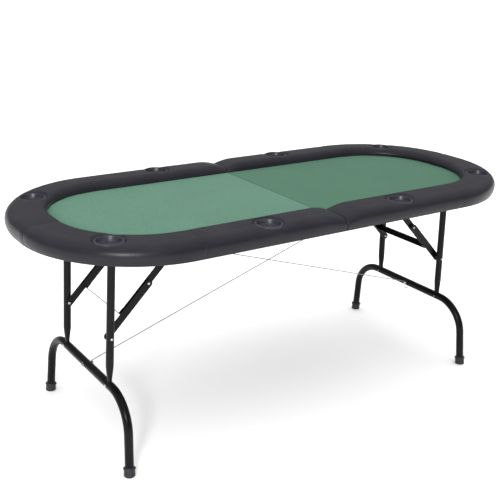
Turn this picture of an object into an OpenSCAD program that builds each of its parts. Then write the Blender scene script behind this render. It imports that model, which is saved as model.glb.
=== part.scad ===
// Folding card table: two padded halves hinged at the middle, each on a folding wishbone leg frame.
// Millimetres. Origin on the floor under the middle of the table, +X along the table, +Z up.
// The right half is drawn, and the left half is the same half turned half a turn about Z.

/* [Table top] */
// Overall length
table_l = 1864; // [1600:2:2000]
// Overall width
table_w = 821; // [780:1:860]
// Height of the rail's top above the floor
table_h = 760; // [740:1:790]
// Plan radius of the rail's outer corners
corner_r = 385; // [300:1:388]
// Width of the padded rail
rail_w = 124; // [116:1:130]
// Height of the padded rail above the underside
rail_h = 59; // [56:1:66]
// Depth of the playing surface below the rail's top
felt_drop = 29; // [24:1:32]
// Gap between the two halves at the fold
fold_gap = 1; // [0.5:0.5:3]

/* [Cup holders] */
// Distance of the middle cup holders from the fold
mid_cup_x = 272; // [200:1:400]
// How far the middle cup holders lie outside the middle of the rail
cup_out = 10; // [0:0.5:12]
// Angles of the end cup holders round the near and far bends
near_cup_a = 41; // [35:1:55]
far_cup_a = 49; // [35:1:55]
// Radius of the opening
cup_r = 37; // [34:0.5:38]
// Outer radius of the flange
flange_r = 46; // [44:0.5:48]
// How far the lip lies below the rail's top
cup_sink = 1.5; // [1:0.5:6]
// Depth of the cup below its lip
cup_depth = 15; // [12:0.5:18]

/* [Leg frames] */
// Distance of the leg hinges from the fold
hinge_x = 703; // [690:1:710]
// How far the leg hinges lie below the underside
hinge_drop = 21; // [20:0.5:24]
// Distance of the feet from the fold
foot_x = 731.6; // [725:0.1:745]
// Distance of the posts from the table's long centre line
post_y = 165; // [155:1:175]
// Diameter of the post tubes
post_d = 25; // [22:0.5:26]
// Diameter of the bent foot tube
tube_d = 28; // [26:0.5:30]
// Height of the foot tube's straight middle
cross_z = 240; // [220:1:260]
// Distance of the feet from the table's long centre line
foot_y = 316; // [300:1:325]
// Outward splay of the foot tube's legs
splay = 5.7; // [4:0.1:8]
// Bend radius of the foot tube
bend_r = 120; // [100:1:130]

/* [Braces and stays] */
// Height of the brace pivots on the posts
brace_z = 400; // [380:1:420]
// Distance of the brace pivots under the top from the fold
brace_x = 440; // [435:1:450]
// Width of the brace links
link_w = 25; // [20:1:26]
// How far the upper links run on past the middle pivots
link_tail = 130; // [100:1:132]
// Diameter of the crossing stay rods
stay_d = 3; // [2.5:0.1:4]
// Distance of the stays' upper hooks from the fold
stay_x = 680; // [670:1:684]

/* [Fold] */
// How far the fold's pivot lies below the underside
fold_drop = 43; // [42:1:50]
// Distance of the fold hinges from the long centre line
fold_y = 220; // [200:1:240]

/* [Hidden] */
$fn = 64;
// name, turn about Z, and which way this half's -Y and +Y lie in the finished table
SIDES = [["left", 180, "far", "near"], ["right", 0, "near", "far"]];
HALF_PARTS = ["base_board", "play_board", "felt", "rail_foam", "rail_cover",
    "leg_brackets", "leg_hinge_pins", "brace_brackets", "brace_pins", "stay_bracket",
    "fold_leaves", "screws",
    "leg_posts", "foot_tube", "foot_caps", "post_rivets", "saddle_rivets", "stay_bolt", "stay_nut",
    "lower_links", "link_rivets", "upper_links", "link_studs", "cross_strap"];
CUPS = ["cup_mid_near", "cup_mid_far", "cup_end_near", "cup_end_far"];

base_t = 9;
felt_t = 1.5;
cover_t = 1.2;
tube_t = 1.2;
plate_t = 3;
link_t = 2.5;
under_z = table_h - rail_h;
play_z = table_h - felt_drop;
top_round = 23;
inner_round = 14;
hem_round = 4;
cup_z = table_h - cup_sink;
bend_x = table_l / 2 - corner_r;
bend_cy = table_w / 2 - corner_r;
mid_cup_y = (table_w - rail_w) / 2 + cup_out;
foam_gap = 0.4;
flange_t = 3.5;

// leg frame: it leans outward by lean, and its own Z runs up the posts from the hinge
hinge_z = under_z - hinge_drop;
lean = atan((foot_x - hinge_x) / hinge_z);
leg_len = hinge_z / cos(lean);
cross_at = -(hinge_z - cross_z) / cos(lean);
pivot_at = -(hinge_z - brace_z) / cos(lean);
post_r = post_d / 2;
tube_r = tube_d / 2;
bend_turn = 90 - splay;
knee_y = foot_y - (leg_len + cross_at) * tan(splay);
bend_y = knee_y - bend_r * tan(bend_turn / 2);
cap_h = 30;
cap_wall = 3.5;
stay_y = 3;

// braces: the links lie in one line when open, and all pivots share one level when folded
pivot_x = hinge_x - pivot_at * sin(lean);
brace_len = norm([pivot_x - brace_x, hinge_z - brace_z]);
fold_shift = brace_x - (hinge_x + pivot_at);
lower_len = (brace_len + fold_shift) / 2;
upper_len = (brace_len - fold_shift) / 2;
brace_angle = atan2(hinge_z - brace_z, pivot_x - brace_x);
lower_y = 147;
upper_y = 137;
rivet_r = 3;
head_r = 4.5;
head_t = 2;
fit = 0.05;
bracket_y = upper_y - 0.3 - plate_t;

// stays: straight rods from a hook under one half to a bolt through the other half's foot tube
stay_z = under_z - 11;
stay_r = stay_d / 2;
bolt_r = 3;
washer_t = 1;
stay_play = 0.3;
stay_neck = 3.5;
end_eye = bolt_r + stay_play + stay_r;
tail_x = hinge_x + (hinge_z - cross_z) * tan(lean) - tube_r - washer_t - stay_play - stay_r;
eye_z = cross_z - (tube_r + washer_t + stay_play + stay_r) * sin(lean);
tail_top = eye_z + end_eye + stay_neck;
tail_drop = 8;
tail_bend = 10;
stay_angle = atan2(stay_z - tail_top, stay_x + tail_x);
stay_len = norm([stay_x + tail_x, stay_z - tail_top]);
stay_pin_r = 2.5;
stay_eye = stay_pin_r + 0.1 + stay_r;
fold_z = under_z - fold_drop;
leaf_t = 3;
screw_r = 1.6;
LEG_SCREWS = [for (x = [-18, 18], y = [-8, 8]) [hinge_x + x, post_y + y]];
BRACE_SCREWS = [for (x = [-17, 17]) [brace_x + x, bracket_y - 16]];
FOLD_SCREWS = [for (y = [-14, 14]) [58, fold_y + y]];
STAY_SCREWS = [for (x = [-10, 10]) [stay_x + x, stay_y]];

// ---- shapes that repeat ----

module both_y() { children(); mirror([0, 1, 0]) children(); }

// cylinder of radius r along +Y from y0 to y1
module along_y(r, y0, y1) { translate([0, y0, 0]) rotate([-90, 0, 0]) cylinder(r = r, h = y1 - y0); }

// the right half of a rounded plate: the table's outline drawn in by inset
module half_plate(inset, h) {
    lx = table_l / 2 - inset;
    ly = table_w / 2 - inset;
    r = corner_r - inset;
    linear_extrude(h) union() {
        translate([fold_gap / 2, -ly]) square([lx - r - fold_gap / 2, 2 * ly]);
        translate([lx - r - 1, r - ly]) square([r + 1, 2 * (ly - r)]);
        for (s = [-1, 1]) intersection() {
            translate([lx - r, s * (ly - r)]) circle(r);
            translate([lx - r - 1, s > 0 ? ly - r - 1 : -ly - 1]) square([r + 2, r + 2]);
        }
    }
}

// cross-section of the rail drawn in by inset: x runs outward from its inner edge, y runs up
module rail_section(inset) {
    top = rail_h - inset;
    wide = rail_w - 2 * inset;
    translate([inset, hem_round]) square([wide, rail_h - top_round - hem_round]);
    translate([inset, 0]) square([wide - hem_round + inset, hem_round + 1]);
    translate([rail_w - hem_round, hem_round]) circle(max(hem_round - inset, 0.5));
    translate([inset, hem_round]) square([rail_w / 2, rail_h - inner_round - hem_round]);
    translate([inner_round, hem_round]) square([rail_w - inner_round - top_round, top - hem_round]);
    translate([inner_round, rail_h - inner_round]) circle(inner_round - inset);
    translate([rail_w - top_round, rail_h - top_round]) circle(top_round - inset);
}

// a rail section swept round the right half's outline, from the fold round the end and back
module rail_sweep() {
    ex = bend_x;
    ey = bend_cy;
    r = corner_r - rail_w;
    translate([0, 0, under_z]) {
        both_y() {
            translate([fold_gap / 2, ey + r, 0]) rotate([90, 0, 90]) linear_extrude(ex - fold_gap / 2) children();
            translate([ex, ey, 0]) rotate_extrude(angle = 90, $fn = 128) translate([r, 0]) children();
        }
        translate([ex + r, ey, 0]) rotate([90, 0, 0]) linear_extrude(2 * ey) children();
    }
}

// places its children at the lip of a middle cup holder, and of an end one that is a degrees round its bend
module at_mid_cup(side) { translate([mid_cup_x, side * mid_cup_y, cup_z]) children(); }
module at_end_cup(side, a) {
    r = corner_r - rail_w / 2;
    translate([bend_x + r * cos(a), side * (bend_cy + r * sin(a)), cup_z]) children();
}
module at_cups() {
    for (side = [-1, 1]) at_mid_cup(side) children();
    at_end_cup(-1, near_cup_a) children();
    at_end_cup(1, far_cup_a) children();
}

// the hollow in the foam and cover that a cup holder sits in
module cup_pocket() {
    translate([0, 0, -cup_depth - 2]) cylinder(r = cup_r + 1.5, h = cup_depth + 20);
    translate([0, 0, -flange_t]) cylinder(r = flange_r + 0.5, h = 20);
}

// where the foam strips butt: at each cup holder, at the start of each bend and at the middle of the end
module foam_joints() {
    for (x = [mid_cup_x, bend_x]) translate([x, -table_w / 2, 0]) cube([foam_gap, table_w, table_h]);
    for (a = [-near_cup_a, far_cup_a]) translate([bend_x, sign(a) * bend_cy, 0]) rotate([0, 0, a])
        cube([corner_r, foam_gap, table_h]);
    translate([bend_x + corner_r - rail_w - 1, 0, 0]) cube([rail_w + 2, foam_gap, table_h]);
}

// places its children at each screw's hole in the underside of the base board
module at_screws() {
    for (p = concat(LEG_SCREWS, BRACE_SCREWS, FOLD_SCREWS), s = [-1, 1]) translate([p[0], s * p[1], under_z]) children();
    for (p = STAY_SCREWS) translate([p[0], p[1], under_z]) children();
}
module screw_holes() { at_screws() translate([0, 0, -2 * plate_t]) cylinder(r = screw_r, h = 2 * plate_t + 1); }

// a flat link from the origin along +X with a hole at the origin and one at hole_x
module link(len, hole_x, end_hole) {
    difference() {
        union() {
            translate([0, 0, -link_w / 2]) cube([len, link_t, link_w]);
            along_y(link_w / 2, 0, link_t);
            if (len == hole_x) translate([len, 0, 0]) along_y(link_w / 2, 0, link_t);
        }
        along_y(rivet_r + fit, -1, link_t + 1);
        translate([hole_x, 0, 0]) along_y(end_hole, -1, link_t + 1);
    }
}

module in_leg() { translate([hinge_x, 0, hinge_z]) rotate([0, -lean, 0]) children(); }
module in_upper() { translate([brace_x, 0, hinge_z]) rotate([0, brace_angle, 0]) children(); }
module in_lower() { translate([pivot_x, 0, brace_z]) rotate([0, 180 + brace_angle, 0]) children(); }

// ---- one half of the top ----

module base_board() {
    color("#8a6a45") translate([0, 0, under_z]) half_plate(hem_round, base_t);
}

module play_board() {
    color("#a98a5e") translate([0, 0, under_z + base_t]) half_plate(rail_w, play_z - felt_t - under_z - base_t);
}

module felt() {
    color("#5f917a") translate([0, 0, play_z - felt_t]) half_plate(rail_w, felt_t);
}

module rail_foam() {
    color("#3a3a3e") difference() {
        rail_sweep() intersection() {
            rail_section(cover_t);
            translate([0, base_t]) square([rail_w, rail_h]);
        }
        at_cups() cup_pocket();
        foam_joints();
    }
}

module rail_cover() {
    color("#1c1c20") difference() {
        rail_sweep() difference() {
            rail_section(0);
            rail_section(cover_t);
            translate([-1, -1]) square([rail_w - hem_round + 1, 1 + base_t]);
        }
        at_cups() cup_pocket();
    }
}

module cup() {
    color("#17171a") difference() {
        union() {
            translate([0, 0, -cup_depth - 2]) cylinder(r = cup_r + 1.5, h = cup_depth);
            translate([0, 0, -flange_t]) cylinder(r1 = flange_r, r2 = cup_r + 4, h = flange_t);
        }
        translate([0, 0, -cup_depth]) cylinder(r1 = cup_r - 3, r2 = cup_r, h = cup_depth + 0.01);
    }
}
module cup_mid_near() { at_mid_cup(-1) cup(); }
module cup_mid_far() { at_mid_cup(1) cup(); }
module cup_end_near() { at_end_cup(-1, near_cup_a) cup(); }
module cup_end_far() { at_end_cup(1, far_cup_a) cup(); }

// ---- fittings under one half ----

module leg_brackets() {
    gap = post_r + 0.5;
    color("#202124") both_y() translate([hinge_x, post_y, 0]) {
        difference() {
            translate([-22, -gap - plate_t, under_z - plate_t]) cube([44, 2 * (gap + plate_t), plate_t]);
            translate([-hinge_x, -post_y, 0]) screw_holes();
        }
        for (s = [-1, 1]) translate([0, s > 0 ? gap : -gap - plate_t, 0]) difference() {
            union() {
                translate([-13, 0, hinge_z]) cube([26, plate_t, under_z - hinge_z - plate_t]);
                translate([0, 0, hinge_z]) along_y(13, 0, plate_t);
            }
            translate([0, 0, hinge_z]) along_y(4, -1, plate_t + 1);
        }
    }
}

module leg_hinge_pins() {
    reach = post_r + 0.5 + plate_t;
    color("#b9bbbf") both_y() translate([hinge_x, post_y, hinge_z]) {
        along_y(4, -reach, reach);
        along_y(7, -reach - head_t, -reach);
        along_y(7, reach, reach + head_t);
    }
}

module brace_brackets() {
    color("#202124") both_y() translate([brace_x, 0, 0]) {
        difference() {
            translate([-25, bracket_y - 30, under_z - plate_t]) cube([50, 30 + plate_t, plate_t]);
            translate([-brace_x, 0, 0]) screw_holes();
        }
        translate([0, bracket_y, 0]) difference() {
            union() {
                translate([-13, 0, hinge_z]) cube([26, plate_t, under_z - hinge_z - plate_t]);
                translate([0, 0, hinge_z]) along_y(13, 0, plate_t);
            }
            translate([0, 0, hinge_z]) along_y(rivet_r, -1, plate_t + 1);
        }
    }
}

module brace_pins() {
    outer = upper_y + link_t + 0.2;
    color("#b9bbbf") both_y() translate([brace_x, 0, hinge_z]) {
        along_y(rivet_r, bracket_y, outer);
        along_y(head_r, outer, outer + head_t);
        along_y(head_r, bracket_y - head_t, bracket_y);
    }
}

module stay_bracket() {
    gap = stay_r + 1;
    color("#b9bbbf") translate([stay_x, stay_y, 0]) {
        difference() {
            translate([-15, -12, under_z - plate_t]) cube([30, 24, plate_t]);
            translate([-stay_x, -stay_y, 0]) screw_holes();
        }
        for (s = [-1, 1]) translate([0, s > 0 ? gap : -gap - 2, 0]) {
            translate([-6, 0, stay_z]) cube([12, 2, under_z - plate_t - stay_z]);
            translate([0, 0, stay_z]) along_y(6, 0, 2);
        }
        translate([0, 0, stay_z]) along_y(stay_pin_r, -gap, gap);
    }
}

// the ears are off centre, so that the other half's ears pass beside them
module fold_leaves() {
    reach = 44;
    color("#202124") for (s = [-1, 1]) translate([0, s * fold_y, 0]) {
        difference() {
            translate([6, -22, under_z - leaf_t]) cube([64, 44, leaf_t]);
            translate([0, -s * fold_y, 0]) screw_holes();
        }
        for (y = [-16, 8]) translate([0, y, 0]) difference() {
            rotate([90, 0, 0]) translate([0, 0, -leaf_t]) linear_extrude(leaf_t) union() {
                translate([0, fold_z]) circle(9);
                polygon([[-4, fold_z + 8], [7, fold_z - 6], [reach, under_z - leaf_t], [6, under_z - leaf_t]]);
            }
            translate([0, 0, fold_z]) along_y(4 + fit, -1, leaf_t + 1);
        }
    }
}

module fold_pins() {
    color("#b9bbbf") both_y() translate([0, fold_y, fold_z]) {
        along_y(4, -22, 22);
        along_y(7, -24, -22);
        along_y(7, 22, 24);
    }
}

// pan-head screws that hold the brackets
module screws() {
    color("#8c8e92") at_screws() {
        translate([0, 0, -plate_t - 1.8]) cylinder(r = 3.6, h = 1.8);
        translate([0, 0, -plate_t]) cylinder(r = screw_r, h = plate_t);
    }
}

// ---- leg frame ----

module leg_posts() {
    color("#141417") in_leg() both_y() translate([0, post_y, 0]) difference() {
        translate([0, 0, cross_at]) cylinder(r = post_r, h = -cross_at + post_r);
        translate([0, 0, cross_at - 1]) cylinder(r = post_r - tube_t, h = -cross_at + post_r - 2);
        along_y(4 + fit, -post_d, post_d);
        translate([0, 0, pivot_at]) along_y(rivet_r, -post_d, post_d);
        translate([0, 0, cross_at]) along_y(tube_r, -post_d, post_d);
    }
}

// straight middle, two bends and two splayed legs, of radius r, down to foot_end below the hinge
module wishbone(r, foot_end) {
    translate([0, 0, cross_at]) along_y(r, -bend_y, bend_y);
    both_y() translate([0, bend_y, cross_at - bend_r]) {
        rotate([90, 0, 90]) rotate([0, 0, splay]) rotate_extrude(angle = bend_turn) translate([bend_r, 0]) circle(r);
        rotate([splay, 0, 0]) translate([0, bend_r, 0]) rotate([180, 0, 0])
            cylinder(r = r, h = (foot_end + cross_at - bend_r + bend_r * sin(splay)) / cos(splay));
    }
}

module foot_tube() {
    color("#141417") in_leg() difference() {
        wishbone(tube_r, leg_len - 9);
        wishbone(tube_r - tube_t, leg_len);
        translate([-tube_r - 5, -stay_y, cross_at]) rotate([0, 90, 0]) cylinder(r = bolt_r, h = tube_d + 10);
        both_y() translate([-tube_r - 5, post_y, cross_at]) rotate([0, 90, 0]) cylinder(r = 2, h = tube_d + 10);
    }
}

module foot_caps() {
    color("#2c2d31") difference() {
        in_leg() both_y() translate([0, foot_y, -leg_len]) rotate([splay, 0, 0]) difference() {
            union() {
                translate([0, 0, -6]) cylinder(r = tube_r + cap_wall, h = cap_h + 6);
                translate([0, 0, cap_h - 4]) cylinder(r = tube_r + cap_wall + 1, h = 4);
            }
            translate([0, 0, cap_wall + 2]) cylinder(r = tube_r, h = cap_h);
        }
        translate([foot_x - 60, -500, -60]) cube([120, 1000, 60]);
    }
}

// brace pivots through the posts, each with a washer that stands the lower link off the post
module post_rivets() {
    inner = post_y - post_r;
    color("#b9bbbf") in_leg() both_y() translate([0, 0, pivot_at]) {
        along_y(rivet_r, lower_y - 0.2, post_y + post_r);
        along_y(head_r, lower_y - 0.2 - head_t, lower_y - 0.2);
        along_y(head_r, post_y + post_r, post_y + post_r + head_t);
        along_y(head_r + 1, lower_y + link_t + 0.3, inner);
    }
}

module saddle_rivets() {
    color("#b9bbbf") in_leg() both_y() translate([0, post_y, cross_at]) rotate([0, 90, 0]) {
        translate([0, 0, -tube_r - 1]) cylinder(r = 2, h = tube_d + 2);
        translate([0, 0, tube_r]) cylinder(r = 4.5, h = 1.8);
    }
}

// the other half's stay hooks on this bolt: it goes through the foot tube to a nut on the far side
module stay_bolt() {
    head_at = -tube_r - washer_t - stay_d - 2 * stay_play;
    color("#b9bbbf") in_leg() translate([0, -stay_y, cross_at]) rotate([0, 90, 0]) {
        translate([0, 0, head_at]) cylinder(r = bolt_r, h = tube_r + 7 - head_at);
        translate([0, 0, head_at - 1.5]) cylinder(r = 6, h = 1.5);
        translate([0, 0, -tube_r - washer_t]) cylinder(r = 6.5, h = washer_t);
    }
}
module stay_nut() {
    color("#c9cbd0") in_leg() translate([tube_r + 0.2, -stay_y, cross_at]) rotate([0, 90, 0]) difference() {
        union() {
            cylinder(r = 7, h = 1.2);
            translate([0, 0, 1.2]) cylinder(r = 5.8, h = 4.5, $fn = 6);
        }
        translate([0, 0, -1]) cylinder(r = bolt_r, h = 8);
    }
}

// ---- braces ----

module lower_links() {
    color("#17171a") in_lower() both_y() translate([0, lower_y, 0]) link(lower_len, lower_len, rivet_r);
}

// outer half of the middle pivots, with the spacer that keeps the two links apart
module link_rivets() {
    color("#b9bbbf") in_lower() both_y() translate([lower_len, 0, 0]) {
        along_y(rivet_r, lower_y, lower_y + link_t);
        along_y(head_r, lower_y + link_t, lower_y + link_t + head_t);
        along_y(head_r + 1, upper_y + link_t + 0.4, lower_y);
    }
}

module upper_links() {
    color("#17171a") in_upper() both_y() translate([0, upper_y, 0])
        link(upper_len + link_tail, upper_len, rivet_r);
}

// inner half of the middle pivots
module link_studs() {
    color("#b9bbbf") in_upper() both_y() translate([upper_len, 0, 0]) {
        along_y(rivet_r, upper_y, upper_y + link_t);
        along_y(head_r, upper_y - head_t, upper_y);
    }
}

module cross_strap() {
    end_x = upper_len + link_tail;
    tab_l = 20;
    color("#17171a") in_upper() {
        translate([end_x - 2, -upper_y, -link_w / 2]) cube([2, 2 * upper_y, link_w]);
        both_y() translate([end_x - tab_l, upper_y - 2, -link_w / 2]) cube([tab_l, 2, link_w]);
    }
}

// ---- stays ----

// flattened and punched end of a rod, about Z
module rod_eye(r) {
    flat_t = stay_d - 0.4;
    translate([0, 0, -flat_t / 2]) difference() {
        cylinder(r = r + stay_r, h = flat_t);
        translate([0, 0, -1]) cylinder(r = r - stay_r, h = stay_d + 1);
    }
}

// rod from its eye under this half to the other half's foot tube, where it ends in a hook
module stay_rod() {
    color("#7d7f85") translate([0, stay_y, 0]) {
        translate([stay_x, 0, stay_z]) {
            rotate([90, 0, 0]) rod_eye(stay_eye);
            rotate([0, -90 - stay_angle, 0]) translate([0, 0, stay_eye])
                cylinder(r = stay_r, h = stay_len - stay_eye);
        }
        translate([-tail_x, 0, eye_z]) {
            rotate([0, 90, 0]) rod_eye(end_eye);
            translate([0, 0, end_eye]) cylinder(r = stay_r - 0.1, h = stay_neck);
            translate([0, 0, end_eye + stay_neck]) sphere(r = stay_r + 0.1);
            translate([0, 0, -end_eye - tail_drop]) {
                cylinder(r = stay_r, h = tail_drop);
                translate([-tail_bend, 0, 0]) rotate([90, 0, 0]) rotate([0, 0, -150])
                    rotate_extrude(angle = 153) translate([tail_bend, 0]) circle(stay_r - 0.15);
            }
        }
    }
}

// ---- nodes ----

for (s = SIDES) rotate([0, 0, s[1]]) {
    base_board();
    play_board();
    felt();
    rail_foam();
    rail_cover();
    cup_mid_near();
    cup_mid_far();
    cup_end_near();
    cup_end_far();
    leg_brackets();
    leg_hinge_pins();
    brace_brackets();
    brace_pins();
    stay_bracket();
    fold_leaves();
    screws();
    leg_posts();
    foot_tube();
    foot_caps();
    post_rivets();
    saddle_rivets();
    stay_bolt();
    stay_nut();
    lower_links();
    link_rivets();
    upper_links();
    link_studs();
    cross_strap();
    stay_rod();
}
fold_pins();
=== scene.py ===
import bpy
import math
from mathutils import Matrix, Vector, noise


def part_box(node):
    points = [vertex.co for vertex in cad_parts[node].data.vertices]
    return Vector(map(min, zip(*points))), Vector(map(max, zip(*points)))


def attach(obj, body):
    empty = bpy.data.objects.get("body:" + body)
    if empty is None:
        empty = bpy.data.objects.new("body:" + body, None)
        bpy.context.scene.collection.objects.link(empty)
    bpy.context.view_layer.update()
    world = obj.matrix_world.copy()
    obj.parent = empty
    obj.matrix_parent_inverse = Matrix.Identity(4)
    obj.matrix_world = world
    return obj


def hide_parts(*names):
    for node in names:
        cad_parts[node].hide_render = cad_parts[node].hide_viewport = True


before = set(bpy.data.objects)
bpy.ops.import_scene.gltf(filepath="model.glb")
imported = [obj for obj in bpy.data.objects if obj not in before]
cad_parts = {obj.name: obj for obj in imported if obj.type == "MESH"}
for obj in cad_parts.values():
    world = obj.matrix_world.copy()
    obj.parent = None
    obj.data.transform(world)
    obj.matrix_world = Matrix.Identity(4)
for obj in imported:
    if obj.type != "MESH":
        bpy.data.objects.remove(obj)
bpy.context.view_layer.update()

# ---- places read from the frame, in metres ----

HALVES = {"left": -1, "right": 1}
CUP_PLACES = ("mid_near", "mid_far", "end_near", "end_far")
cover_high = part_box("right_rail_cover")[1]
board_low, board_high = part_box("right_base_board")
felt_low, felt_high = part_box("right_felt")
table_end, table_side, rail_top = cover_high.x, cover_high.y, cover_high.z
under_z, board_top, felt_z = board_low.z, board_high.z, felt_high.z
fold_x = felt_low.x
rail_w = table_end - felt_high.x
rail_h = rail_top - under_z
corner_r = 0.385
inner_r = corner_r - rail_w
corner_x, corner_y = table_end - corner_r, table_side - corner_r


def middle(node):
    low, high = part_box(node)
    return (low + high) / 2


cups = {p: middle("right_cup_" + p).to_2d() for p in CUP_PLACES}
cup_low, cup_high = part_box("right_cup_mid_near")
lip_z = cup_high.z
flange_r = (cup_high.x - cup_low.x) / 2
skirt_z = lip_z - 0.0095
hinge = middle("right_leg_hinge_pins")
foot_x, foot_y = 0.7316, 0.316  # where each leg of the foot tube stands
lean = math.atan((foot_x - hinge.x) / hinge.z)
splay = math.radians(5.7)  # of those legs, outward
cross = middle("right_saddle_rivets")


# ---- camera ----

def make_camera():
    data = bpy.data.cameras.new("camera")
    data.sensor_width = 36
    data.lens = 61.63
    cam = bpy.data.objects.new("camera", data)
    bpy.context.scene.collection.objects.link(cam)
    yaw, pitch, roll = 0.9609, 0.3447, 0.0336
    ahead = Vector((math.cos(pitch) * math.cos(yaw), math.cos(pitch) * math.sin(yaw), -math.sin(pitch)))
    level = Vector((math.sin(yaw), -math.cos(yaw), 0))
    upright = level.cross(ahead)
    right = math.cos(roll) * level + math.sin(roll) * upright
    top = math.cos(roll) * upright - math.sin(roll) * level
    turn = Matrix((right, top, -ahead)).transposed()
    cam.matrix_world = Matrix.Translation((-1.731, -2.352, 1.555)) @ turn.to_4x4()
    bpy.context.scene.camera = cam


make_camera()

# ---- materials ----


def linear(hex_colour):
    """sRGB hex to the linear colour that shaders take."""
    parts = [int(hex_colour[i:i + 2], 16) / 255 for i in (1, 3, 5)]
    return [c / 12.92 if c <= 0.04045 else ((c + 0.055) / 1.055) ** 2.4 for c in parts] + [1]


def add(tree, kind, inputs=(), **settings):
    """Adds a node, with its settings and what goes into its sockets: a value, or another node's socket."""
    made = tree.nodes.new("ShaderNode" + kind)
    for key, value in settings.items():
        setattr(made, key, value)
    for key, value in dict(inputs).items():
        if isinstance(value, bpy.types.NodeSocket):
            tree.links.new(value, made.inputs[key])
        else:
            made.inputs[key].default_value = value
    return made


def start(name):
    """A new material with its shader and the object's own coordinates."""
    made = bpy.data.materials.new(name)
    made.use_nodes = True
    tree = made.node_tree
    place = add(tree, "TexCoord").outputs["Object"]
    return made, tree, tree.nodes["Principled BSDF"].inputs, place


def ramp(tree, factor, stops):
    """A colour ramp through (position, sRGB hex) stops."""
    made = add(tree, "ValToRGB", {"Fac": factor})
    steps = made.color_ramp.elements
    while len(steps) < len(stops):
        steps.new(0.5)
    for step, (at, colour) in zip(steps, stops):
        step.position = at
        step.color = linear(colour)
    return made.outputs["Color"]


def spread(tree, factor, low, high):
    """Maps 0..1 to low..high, for roughness that varies over the surface."""
    return add(tree, "MapRange", {"Value": factor, "To Min": low, "To Max": high}).outputs["Result"]


def grained_vinyl():
    # PVC upholstery vinyl, embossed with a pebble grain about 1 mm across: a soft broad shine that the grain
    # breaks up. The grain is drawn at 2 mm, as it is too fine to show at its own size.
    made, tree, shader, place = start("grained_vinyl")
    grain = add(tree, "TexVoronoi", {"Vector": place, "Scale": 1 / 0.002, "Randomness": 0.9},
                feature="SMOOTH_F1").outputs["Distance"]
    cloud = add(tree, "TexNoise", {"Vector": place, "Scale": 1 / 0.09, "Detail": 4}).outputs["Fac"]
    fine = add(tree, "TexNoise", {"Vector": place, "Scale": 1 / 0.0007, "Detail": 2}).outputs["Fac"]
    tree.links.new(ramp(tree, cloud, [(0.3, "#1f1e25"), (0.7, "#27262d")]), shader["Base Color"])
    tree.links.new(spread(tree, grain, 0.3, 0.42), shader["Roughness"])
    coarse = add(tree, "Bump", {"Height": grain, "Strength": 0.35, "Distance": 0.0005}, invert=True)
    both = add(tree, "Bump", {"Height": fine, "Strength": 0.15, "Distance": 0.0002,
                              "Normal": coarse.outputs["Normal"]})
    tree.links.new(both.outputs["Normal"], shader["Normal"])
    shader["IOR"].default_value = 1.52
    shader["Specular IOR Level"].default_value = 0.25
    return made


def gaming_felt(name, low, high):
    # short-nap woollen cloth pressed flat: matt, mottled by matted fibres far finer than a millimetre. They are
    # drawn at about 4 mm, with a faint bloom at low angles.
    made, tree, shader, place = start(name)
    fibre = add(tree, "TexNoise", {"Vector": place, "Scale": 1 / 0.004, "Detail": 5, "Roughness": 0.7,
                                   "Distortion": 0.6}).outputs["Fac"]
    nap = add(tree, "TexNoise", {"Vector": place, "Scale": 1 / 0.16, "Detail": 3}).outputs["Fac"]
    mixed = add(tree, "Mix", {"Factor": 0.12, "A": fibre, "B": nap}).outputs["Result"]
    tree.links.new(ramp(tree, mixed, [(0.35, low), (0.65, high)]), shader["Base Color"])
    bump = add(tree, "Bump", {"Height": fibre, "Strength": 0.4, "Distance": 0.0006})
    tree.links.new(bump.outputs["Normal"], shader["Normal"])
    shader["Roughness"].default_value = 0.95
    shader["Sheen Weight"].default_value = 0.15
    shader["Sheen Roughness"].default_value = 0.5
    shader["Specular IOR Level"].default_value = 0.2
    return made


def powder_coat():
    # black polyester powder coat baked on steel: semi-gloss, with a faint orange peel about 1 mm across
    made, tree, shader, place = start("powder_coat")
    peel = add(tree, "TexNoise", {"Vector": place, "Scale": 1 / 0.0012, "Detail": 2}).outputs["Fac"]
    rub = add(tree, "TexNoise", {"Vector": place, "Scale": 1 / 0.04, "Detail": 5}).outputs["Fac"]
    tree.links.new(ramp(tree, rub, [(0.35, "#0b0b0e"), (0.75, "#131317")]), shader["Base Color"])
    tree.links.new(spread(tree, rub, 0.22, 0.4), shader["Roughness"])
    bump = add(tree, "Bump", {"Height": peel, "Strength": 0.12, "Distance": 0.0003})
    tree.links.new(bump.outputs["Normal"], shader["Normal"])
    shader["IOR"].default_value = 1.5
    shader["Specular IOR Level"].default_value = 0.16
    return made


def moulded_abs():
    # black ABS from a spark-textured mould: fine matt grain with a dull shine, a little scuffed
    made, tree, shader, place = start("moulded_abs")
    spark = add(tree, "TexNoise", {"Vector": place, "Scale": 1 / 0.0008, "Detail": 3}).outputs["Fac"]
    scuff = add(tree, "TexNoise", {"Vector": place, "Scale": 1 / 0.015, "Detail": 6}).outputs["Fac"]
    tree.links.new(ramp(tree, scuff, [(0.35, "#272831"), (0.7, "#35363f")]), shader["Base Color"])
    tree.links.new(spread(tree, scuff, 0.3, 0.45), shader["Roughness"])
    bump = add(tree, "Bump", {"Height": spark, "Strength": 0.2, "Distance": 0.0002})
    tree.links.new(bump.outputs["Normal"], shader["Normal"])
    shader["IOR"].default_value = 1.53
    return made


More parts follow.
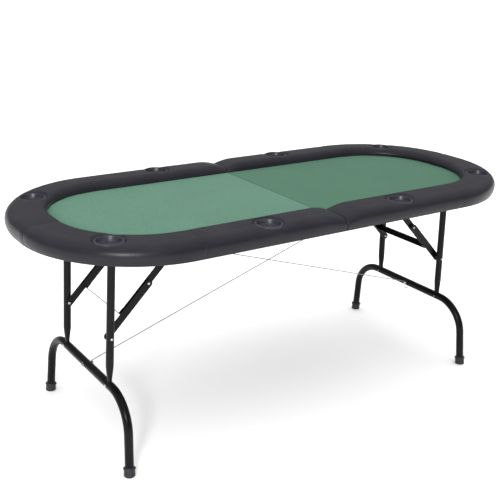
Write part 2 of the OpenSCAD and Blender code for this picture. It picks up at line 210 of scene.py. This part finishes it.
def moulded_rubber():
    # black styrene rubber, moulded: dull, slightly dusty, with a fine skin
    made, tree, shader, place = start("moulded_rubber")
    dust = add(tree, "TexNoise", {"Vector": place, "Scale": 1 / 0.012, "Detail": 6}).outputs["Fac"]
    skin = add(tree, "TexNoise", {"Vector": place, "Scale": 1 / 0.0009, "Detail": 2}).outputs["Fac"]
    tree.links.new(ramp(tree, dust, [(0.3, "#222226"), (0.75, "#323238")]), shader["Base Color"])
    tree.links.new(spread(tree, dust, 0.5, 0.7), shader["Roughness"])
    bump = add(tree, "Bump", {"Height": skin, "Strength": 0.2, "Distance": 0.0003})
    tree.links.new(bump.outputs["Normal"], shader["Normal"])
    return made


def zinc_plate():
    # bright zinc plate on steel: silvery with a cloudy, slightly uneven shine
    made, tree, shader, place = start("zinc_plate")
    cloud = add(tree, "TexNoise", {"Vector": place, "Scale": 1 / 0.004, "Detail": 4}).outputs["Fac"]
    tree.links.new(ramp(tree, cloud, [(0.3, "#b4b6ba"), (0.75, "#d6d8db")]), shader["Base Color"])
    tree.links.new(spread(tree, cloud, 0.2, 0.42), shader["Roughness"])
    shader["Metallic"].default_value = 1
    return made


def drawn_wire():
    # cold-drawn bright steel rod: soft grey shine with fine lengthwise streaks
    made, tree, shader, place = start("drawn_wire")
    long_way = add(tree, "Mapping", {"Vector": place, "Scale": (40, 4000, 4000)}).outputs["Vector"]
    streak = add(tree, "TexNoise", {"Vector": long_way, "Scale": 1, "Detail": 3}).outputs["Fac"]
    tree.links.new(ramp(tree, streak, [(0.3, "#85878c"), (0.75, "#a2a4a9")]), shader["Base Color"])
    tree.links.new(spread(tree, streak, 0.3, 0.5), shader["Roughness"])
    shader["Metallic"].default_value = 1
    return made


def fibreboard():
    # medium-density fibreboard with a dark sealed face: matt, with pressed fibres a few millimetres long
    made, tree, shader, place = start("fibreboard")
    stretch = add(tree, "Mapping", {"Vector": place, "Scale": (1, 3, 3)}).outputs["Vector"]
    fibre = add(tree, "TexNoise", {"Vector": stretch, "Scale": 1 / 0.006, "Detail": 8,
                                   "Roughness": 0.75}).outputs["Fac"]
    tree.links.new(ramp(tree, fibre, [(0.3, "#2c2521"), (0.55, "#3b322b"), (0.75, "#4a4037")]),
                   shader["Base Color"])
    bump = add(tree, "Bump", {"Height": fibre, "Strength": 0.25, "Distance": 0.0005})
    tree.links.new(bump.outputs["Normal"], shader["Normal"])
    shader["Roughness"].default_value = 0.72
    return made


VINYL = grained_vinyl()
# one cloth in two painted tones: the right half is painted darker than the left as painted shade, because the
# key light falls more weakly on it, and the left half is the lit copy
FELTS = {"left": gaming_felt("gaming_felt_left_painted_light", "#34604c", "#497863"),
         "right": gaming_felt("gaming_felt_right_painted_shade", "#1f523a", "#2f664c")}
COAT = powder_coat()
ABS = moulded_abs()
RUBBER = moulded_rubber()
ZINC = zinc_plate()
WIRE = drawn_wire()
BOARD = fibreboard()

# ---- making meshes ----


def piece(name, points, faces, body, material, stands_for=(), sharp=60):
    """A new mesh piece, smooth but for edges sharper than sharp degrees, that rides on a body."""
    mesh = bpy.data.meshes.new(name)
    mesh.from_pydata([tuple(p) for p in points], [], faces)
    mesh.validate()
    mesh.materials.append(material)
    made = bpy.data.objects.new(name, mesh)
    bpy.context.scene.collection.objects.link(made)
    mesh.shade_smooth()
    mesh.set_sharp_from_angle(angle=math.radians(sharp))
    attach(made, body)
    if stands_for:
        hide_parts(*stands_for)
    return made


def loft(rings):
    """Points and faces of a capped skin over rings that all have the same number of points."""
    count = len(rings[0])
    points = [p for ring in rings for p in ring]
    faces = []
    for i in range(len(rings) - 1):
        for j in range(count):
            k = (j + 1) % count
            faces.append((i * count + j, i * count + k, (i + 1) * count + k, (i + 1) * count + j))
    faces.append(tuple(reversed(range(count))))
    faces.append(tuple((len(rings) - 1) * count + j for j in range(count)))
    return points, faces


def lathe(profile, steps=96):
    """Turns (radius, height) points about Z. The profile starts and ends on the axis."""
    points = [Vector((0, 0, profile[0][1]))]
    inside = profile[1:-1]
    for i in range(steps):
        a = math.tau * i / steps
        points += [Vector((r * math.cos(a), r * math.sin(a), z)) for r, z in inside]
    points.append(Vector((0, 0, profile[-1][1])))
    n, last, faces = len(inside), len(points) - 1, []
    for i in range(steps):
        here, there = 1 + i * n, 1 + (i + 1) % steps * n
        faces.append((0, there, here))
        faces += [(here + j, there + j, there + j + 1, here + j + 1) for j in range(n - 1)]
        faces.append((here + n - 1, there + n - 1, last))
    return points, faces


def moved(points, matrix):
    return [matrix @ Vector(p) for p in points]


def arc(centre, r, a0, a1, steps):
    """Points of an arc from a0 to a1 degrees."""
    return [(centre[0] + r * math.cos(math.radians(a0 + (a1 - a0) * i / steps)),
             centre[1] + r * math.sin(math.radians(a0 + (a1 - a0) * i / steps))) for i in range(steps + 1)]


HALF_TURN = {"left": Matrix.Rotation(math.pi, 4, "Z"), "right": Matrix.Identity(4)}

# ---- padded rail ----

arc_len = math.pi / 2 * (corner_r - rail_w / 2)
straight = corner_x - fold_x
rail_len = 2 * straight + 2 * arc_len + 2 * corner_y


def rail_station(s):
    """The rail's inner edge and outward direction at s, measured along its middle from the near fold."""
    ends = (straight, arc_len, 2 * corner_y, arc_len, straight)
    for leg, length in enumerate(ends):
        if s <= length or leg == 4:
            break
        s -= length
    if leg == 0:
        return Vector((fold_x + s, -corner_y - inner_r)), Vector((0, -1))
    if leg == 4:
        return Vector((corner_x - s, corner_y + inner_r)), Vector((0, 1))
    if leg == 2:
        return Vector((corner_x + inner_r, s - corner_y)), Vector((1, 0))
    a = s / arc_len * math.pi / 2 - (math.pi / 2 if leg == 1 else 0)
    out = Vector((math.cos(a), math.sin(a)))
    return Vector((corner_x, -corner_y if leg == 1 else corner_y)) + out * inner_r, out


def bulge(centre, a, b, power, t0, t1, steps):
    """Points of a squarish ellipse quarter, from t0 to t1 degrees."""
    points = []
    for i in range(steps + 1):
        t = math.radians(t0 + (t1 - t0) * i / steps)
        c, d = math.cos(t), math.sin(t)
        across = math.copysign(abs(c) ** (2 / power), c)
        points.append((centre[0] + a * across, centre[1] + b * abs(d) ** (2 / power)))
    return points


def rail_section():
    """The section as (outward, up, how much the padding gives there), from its inner foot over the top."""
    foot = felt_z - under_z
    peak, brow = rail_h + 0.0025, rail_h + 0.0008
    inner, outer = 0.029, 0.078
    points = [(0.0004, foot - 0.004, 0)]
    inside = bulge((inner, foot + 0.0005), inner - 0.0006, peak - foot, 2.3, 178, 90, 12)
    outside = bulge((outer, 0.022), rail_w + 0.003 - outer, brow - 0.022, 2.5, 90, 0, 18)
    points += [(r, z, 1) for r, z in inside]
    for i in range(1, 12):
        t = i / 12
        crown = peak + (brow - peak) * t * t + 0.0006 * math.sin(math.pi * t)
        points.append((inner + (outer - inner) * t, crown, 1))
    points += [(r, z, 1) for r, z in outside]
    points += [(rail_w + 0.0024, 0.016, 1), (rail_w + 0.001, 0.0105, 1), (rail_w - 0.0008, 0.0066, 0.7)]
    points += [(r, z, 0) for r, z in arc((rail_w - 0.0062, 0.0042), 0.0042, 0, -90, 5)]
    hem = rail_w - 0.032
    board_edge = rail_w - 0.0041
    points += [(rail_w - 0.02, -0.0008, 0), (hem, -0.0008, 0), (hem, -0.0001, 0), (board_edge, -0.0001, 0),
               (board_edge, board_top - under_z + 0.0002, 0), (0.0004, board_top - under_z + 0.0002, 0)]
    return points


# seams across the rail, as distances along its centre line from the near side of the fold, and their depths
far_seam = rail_len - straight + 0.022
end_seam = rail_len / 2 + 0.05
seams = [(far_seam, 1), (end_seam, 1), (straight - 0.022, 0.25)]
fold_reach = 0.078
fold_flatness = 0.31  # share of the padding's height that is lost right at the fold
end_overhang = 0.008  # how far the padding leans in over the cloth at the table's ends


def rail_steps():
    """Stations along the rail, close together at the fold's ends and the seams."""
    fine = [0, 0.0006, 0.0016, 0.003, 0.0048, 0.007, 0.0095, 0.0125, 0.0165]
    steps = set(fine + [rail_len - f for f in fine])
    for seam, _ in seams:
        steps |= {seam + d for d in (0, 0.0007, -0.0007, 0.0016, -0.0016, 0.003, -0.003)}
    special = sorted(steps)
    count = int(rail_len / 0.0052)
    for i in range(count):
        s = rail_len * i / count
        if min(abs(s - t) for t in special) > 0.0024:
            steps.add(s)
    return sorted(steps)


def seam_dip(s):
    """How deep the thread pulls the cover in at s: a narrow groove in a wide shallow pucker."""
    deep = 0
    for seam, strength in seams:
        d = abs(s - seam)
        deep += strength * (0.0011 * math.exp(-(d / 0.0012) ** 2) + 0.0008 * math.exp(-(d / 0.012) ** 2))
    return deep


def fold_roll(s):
    """How far the cover is drawn in where the rail ends at the fold."""
    d = min(s, rail_len - s)
    reach = 0.0095
    if d >= reach:
        return 0
    return 0.0042 * (1 - math.sqrt(1 - ((reach - d) / reach) ** 2))


def fold_sink(s):
    """How much the padding is flattened towards the fold, 0 to 1."""
    return max(0, 1 - min(s, rail_len - s) / fold_reach) ** 2


def cup_dish(at, z):
    """Height of the cover near a cup: it meets the flange all round, and makes room for the cup under it."""
    for centre in cups.values():
        d = (at - centre).length
        if d > flange_r + 0.02 or z < under_z + 0.036:
            continue
        if d < flange_r - 0.004:
            return cup_low.z - 0.002
        if d < flange_r - 0.0005:
            return skirt_z + 0.001
        level = min(max(z, skirt_z + 0.0025), lip_z - 0.0032)
        return z + (level - z) * math.exp(-((d - flange_r) / 0.0055) ** 2)
    return z


def rail_rings():
    section = rail_section()
    core = Vector((rail_w / 2, 0.026))
    rings = []
    for s in rail_steps():
        foot, out = rail_station(s)
        dip = seam_dip(s)
        roll = fold_roll(s)
        sink = fold_flatness * fold_sink(s)
        ring = []
        for r, up, give in section:
            p = Vector((r, up))
            if give:
                flat = foot + out * r
                lump = noise.noise(Vector((flat.x * 9, flat.y * 9, up * 9)))
                lump += 0.5 * noise.noise(Vector((flat.x * 30, flat.y * 30, up * 14)))
                p += (core - p).normalized() * (dip + roll - 0.0005 * lump + 0.0005) * give
                if p.x < core.x:
                    above = min(max((p.y - felt_z + under_z) / 0.008, 0), 1)
                    p.x -= end_overhang * above * max(0, out.x) ** 3 * (1 - p.x / core.x)
                p.y -= sink * max(0, p.y - 0.012)
            at = foot + out * p.x
            z = under_z + p.y
            if give:
                z = cup_dish(at, z)
            ring.append(Vector((at.x, at.y, z)))
        rings.append(ring)
    return rings


def make_rails():
    points, faces = loft(rail_rings())
    for half in HALVES:
        turned = moved(points, HALF_TURN[half])
        rail = piece(half + "_padded_rail", turned, faces, half + "_top", VINYL,
                     [half + "_rail_cover", half + "_rail_foam"], sharp=75)


# ---- cloth ----

def make_felts():
    """The cloth on each half: stretched flat up to the rail's inner edge and rounded down at the fold."""
    step = 0.009
    thick = felt_high.z - felt_low.z
    rows = int(2 * (corner_y + inner_r) / step)
    for half in HALVES:
        rings = []
        for j in range(rows + 1):
            y = (corner_y + inner_r) * (2 * j / rows - 1)
            over = max(0, abs(y) - corner_y)
            reach = corner_x + math.sqrt(max(0, inner_r ** 2 - over ** 2))
            cols = 84
            upper = []
            for i in range(cols + 1):
                t = i / cols
                x = fold_x + (reach - fold_x) * (0.5 - 0.5 * math.cos(math.pi * t))
                near_fold = x - fold_x
                drop = 0.0012 * math.exp(-near_fold / 0.0015)
                wave = 0.00025 * noise.noise(Vector((x * 6, y * 6, 3 if half == "left" else 8)))
                upper.append(Vector((x, y, felt_z - 0.0002 - drop + wave)))
            lower = [Vector((p.x, p.y, felt_z - thick + 0.0002)) for p in reversed(upper)]
            rings.append(upper + lower)
        points, faces = loft(rings)
        turned = moved(points, HALF_TURN[half])
        cloth = piece(half + "_cloth", turned, faces, half + "_top", FELTS[half], [half + "_felt"])


# ---- cup holders ----

def cup_profile():
    """Half-section of a cup holder, from under its floor out round the lip and back inside."""
    floor = lip_z - 0.015
    wall, lip = 0.0365, 0.0392
    lines = [(0, floor + 0.0004), (0.010, floor + 0.0004)]
    lines += arc((0.0115, floor + 0.0004), 0.0009, 180, 0, 6)
    lines += [(0.024, floor + 0.0004)]
    lines += arc((0.0255, floor + 0.0004), 0.0009, 180, 0, 6)
    lines += [(0.030, floor + 0.0002)]
    lines += arc((wall - 0.0055, floor + 0.0035), 0.0035, -90, -8, 6)
    lines += [(wall - 0.0012, floor + 0.008)]
    lines += arc((lip, lip_z - 0.0022), 0.0022, 180, 20, 8)
    lines += [(0.0425, lip_z - 0.0014)]
    lines += arc((flange_r - 0.0022, lip_z - 0.0042), 0.0022, 75, 0, 5)
    lines += [(flange_r, skirt_z), (flange_r - 0.0012, skirt_z), (flange_r - 0.0014, lip_z - 0.0046),
              (wall + 0.0016, lip_z - 0.005), (wall - 0.001, cup_low.z + 0.0015), (wall - 0.003, cup_low.z),
              (0, cup_low.z)]
    return lines[::-1]


def make_cups():
    points, faces = lathe(cup_profile(), 128)
    for half in HALVES:
        for place in CUP_PLACES:
            node = f"{half}_cup_{place}"
            spot = middle(node)
            placed = moved(points, Matrix.Translation((spot.x, spot.y, 0)))
            piece(f"{half}_cup_holder_{place}", placed, faces, half + "_top", ABS, [node], sharp=50)


make_rails()
make_felts()
make_cups()

# ---- leg posts, caps and rivets ----

LEAN = Matrix.Translation((hinge.x, 0, hinge.z)) @ Matrix.Rotation(-lean, 4, "Y")
tube_r = 0.014
post_r = 0.0125


def make_posts():
    """The round posts, with their lower ends pressed flat where they meet the foot tube."""
    hinge_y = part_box("right_leg_posts")[1].y - post_r
    drop = (hinge.z - cross.z) / math.cos(lean)
    end = tube_r - 0.002
    flat, wide = 0.0068, 0.0112
    stops = [(0.0115, 0.6), (0.0085, 0.93), (0.005, 1), (-0.02, 1)]
    stops += [(-drop + end + h, 1) for h in (0.15, 0.09)]
    rings = []
    for z, scale in stops:
        rings.append((z, post_r * scale, post_r * scale))
    for i in range(13):
        t = i / 12
        ease = t * t * (3 - 2 * t)
        z = -drop + end + 0.06 * (1 - t)
        rings.append((z, post_r + (flat - post_r) * ease, post_r + (wide - post_r) * ease))
    rings.append((-drop + end - 0.004, flat, wide))
    turns = [math.tau * i / 40 for i in range(40)]
    skin = [[Vector((a * math.cos(t), b * math.sin(t), z)) for t in turns] for z, a, b in reversed(rings)]
    points, faces = loft(skin)
    for half in HALVES:
        for side in (-1, 1):
            place = HALF_TURN[half] @ LEAN @ Matrix.Translation((0, side * hinge_y, 0))
            which = side_name(half, side)
            piece(f"{half}_post_{which}", moved(points, place), faces, half + "_leg", COAT,
                  [half + "_leg_posts"], sharp=40)


def side_name(half, side):
    return "near" if side * (1 if half == "right" else -1) < 0 else "far"


def make_caps():
    """Moulded rubber feet with a rolled lip, pushed over the splayed ends of the foot tube."""
    wall_r = tube_r + 0.0032
    top = 0.030
    profile = [(0, -0.004), (wall_r - 0.001, -0.004), (wall_r + 0.0006, 0.0006), (wall_r + 0.0006, 0.004),
               (wall_r, 0.0062), (wall_r, 0.0205)]
    profile += arc((wall_r + 0.0003, 0.0245), 0.0022, -110, 80, 8)
    profile += [(wall_r - 0.0004, 0.0278), (wall_r - 0.001, top - 0.0006), (tube_r + 0.0012, top),
                (tube_r + 0.0003, top - 0.0004), (tube_r + 0.0003, 0.006), (0, 0.006)]
    points, faces = lathe(profile, 72)
    for half in HALVES:
        for side in (-1, 1):
            tilt = Matrix.Rotation(side * splay, 4, "X")
            drop = hinge.z / math.cos(lean)
            place = LEAN @ Matrix.Translation((0, side * foot_y, -drop)) @ tilt
            standing = [Vector((p.x, p.y, max(p.z, 0.0))) for p in moved(points, place)]
            turned = moved(standing, HALF_TURN[half])
            piece(f"{half}_cap_{side_name(half, side)}", turned, faces, half + "_leg", RUBBER,
                  [half + "_foot_caps"], sharp=50)


def pin_profile(low, high, shank_r, head_r, heads, collar=None):
    """Half-section of a rivet between two heights, domed at each end that has a head."""
    rise = 0.002
    lines = [(0, low)]
    if heads[0]:
        lines += [(head_r * math.sin(math.radians(a)), low + rise * (1 - math.cos(math.radians(a))))
                  for a in (20, 40, 60, 80)]
        lines += [(head_r, low + rise)]
    lines += [(shank_r, low + (rise if heads[0] else 0))]
    if collar:
        lines += [(shank_r, collar[0]), (collar[2], collar[0]), (collar[2], collar[1]), (shank_r, collar[1])]
    lines += [(shank_r, high - (rise if heads[1] else 0))]
    if heads[1]:
        lines += [(head_r, high - rise)]
        lines += [(head_r * math.sin(math.radians(a)), high - rise * (1 - math.cos(math.radians(a))))
                  for a in (80, 60, 40, 20)]
    lines += [(0, high)]
    return lines


def make_pins():
    """Domed rivets and pins along Y, one near and one far."""
    # node, body, distances of both ends from the centre line, shank and head radii, which ends have a head,
    # and the collar, if any: from, to and radius
    kinds = [("leg_hinge_pins", "_top", 0.147, 0.183, 0.004, 0.007, (1, 1), None),
             ("brace_pins", "_top", 0.1317, 0.1417, 0.003, 0.0045, (1, 1), None),
             ("post_rivets", "_leg", 0.1448, 0.1795, 0.003, 0.0045, (1, 1), (0.1498, 0.1525, 0.0055)),
             ("link_rivets", "_lower_links", 0.1399, 0.1515, 0.003, 0.0045, (0, 1), (0.14, 0.147, 0.0055)),
             ("link_studs", "_upper_links", 0.135, 0.1395, 0.003, 0.0045, (1, 0), None)]
    for node, body, low, high, shank, head, heads, collar in kinds:
        spot = middle("right_" + node)
        points, faces = lathe(pin_profile(low, high, shank, head, heads, collar), 32)
        for half in HALVES:
            for side in (-1, 1):
                turn = Matrix.Rotation(side * -math.pi / 2, 4, "X")
                place = HALF_TURN[half] @ Matrix.Translation((spot.x, 0, spot.z)) @ turn
                name = f"{half}_{node[:-1]}_{side_name(half, side)}"
                turned = moved(points, place)
                piece(name, turned, faces, half + body, ZINC, [f"{half}_{node}"], sharp=50)


make_posts()
make_caps()
make_pins()

# ---- finishes of the carried-over pieces ----

FINISH = {
    "base_board": BOARD, "play_board": BOARD, "leg_posts": COAT, "foot_tube": COAT, "foot_caps": RUBBER,
    "leg_brackets": COAT, "brace_brackets": COAT, "fold_leaves": COAT, "lower_links": COAT,
    "upper_links": COAT, "cross_strap": COAT,
    "stay_rod": WIRE, "stay_bracket": ZINC, "stay_bolt": ZINC, "stay_nut": ZINC,
    "leg_hinge_pins": ZINC, "brace_pins": ZINC, "post_rivets": ZINC, "saddle_rivets": ZINC,
    "link_rivets": ZINC, "link_studs": ZINC, "screws": ZINC, "fold_pins": ZINC,
}


def finish_frame_pieces():
    for name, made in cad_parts.items():
        plain = name.split("_", 1)[1] if name.split("_")[0] in HALVES else name
        if plain in FINISH:
            for place in made.material_slots:
                place.link = "OBJECT"
                place.material = FINISH[plain]


finish_frame_pieces()

# ---- studio ----


def make_studio():
    """A pale floor and white backdrop, an even light from above and a soft key light from the front left."""
    scene = bpy.context.scene
    scene.view_settings.view_transform = "Standard"
    world = bpy.data.worlds.new("studio")
    world.use_nodes = True
    tree = world.node_tree
    path = add(tree, "LightPath").outputs
    ray = add(tree, "TexCoord").outputs["Generated"]
    height = add(tree, "SeparateXYZ", {"Vector": ray}).outputs["Z"]
    dome = add(tree, "MapRange", {"Value": height, "From Min": -0.3, "From Max": 0.9, "To Min": 0.05,
                                  "To Max": 1.5}).outputs["Result"]
    shine = path["Is Glossy Ray"]
    dim = add(tree, "MapRange", {"Value": shine, "To Min": 1, "To Max": 0.4}).outputs["Result"]
    fill = add(tree, "Math", {0: dome, 1: dim}, operation="MULTIPLY").outputs["Value"]
    strength = add(tree, "Mix", {"Factor": path["Is Camera Ray"], "A": fill, "B": 1.05}).outputs["Result"]
    tree.nodes["Background"].inputs["Color"].default_value = linear("#ffffff")
    tree.links.new(strength, tree.nodes["Background"].inputs["Strength"])
    scene.world = world
    floor_mesh = bpy.data.meshes.new("floor")
    side = 60
    floor_mesh.from_pydata([(x * side, y * side, 0) for x, y in ((-1, -1), (1, -1), (1, 1), (-1, 1))], [],
                           [(0, 1, 2, 3)])
    floor_object = bpy.data.objects.new("floor", floor_mesh)
    scene.collection.objects.link(floor_object)
    # matt painted plaster, nearly white
    paint, tree, shader, place = start("studio_floor")
    shader["Base Color"].default_value = linear("#fbfbfb")
    shader["Roughness"].default_value = 0.9
    floor_mesh.materials.append(paint)
    # no light is thrown back up at the undersides, as if black cloth lay on the floor just out of view
    floor_object.visible_diffuse = False
    lamps = [("overhead_light", "SUN", (-0.25, -0.3, 3.6), math.radians(80), 0.8, False),
             ("key_light", "AREA", (-2.5, -2.5, 1.8), 0.5, 60, True),
             ("rim_light", "AREA", (1.6, 2.6, 2.4), 1.2, 8, False)]
    for name, kind, spot, size, power, shines in lamps:
        data = bpy.data.lights.new(name, kind)
        setattr(data, "angle" if kind == "SUN" else "size", size)
        data.energy = power
        lamp = bpy.data.objects.new(name, data)
        lamp.location = spot
        lamp.rotation_euler = (Vector((-0.3, 0, 0.6)) - lamp.location).to_track_quat("-Z", "Y").to_euler()
        lamp.visible_glossy = shines
        scene.collection.objects.link(lamp)


make_studio()
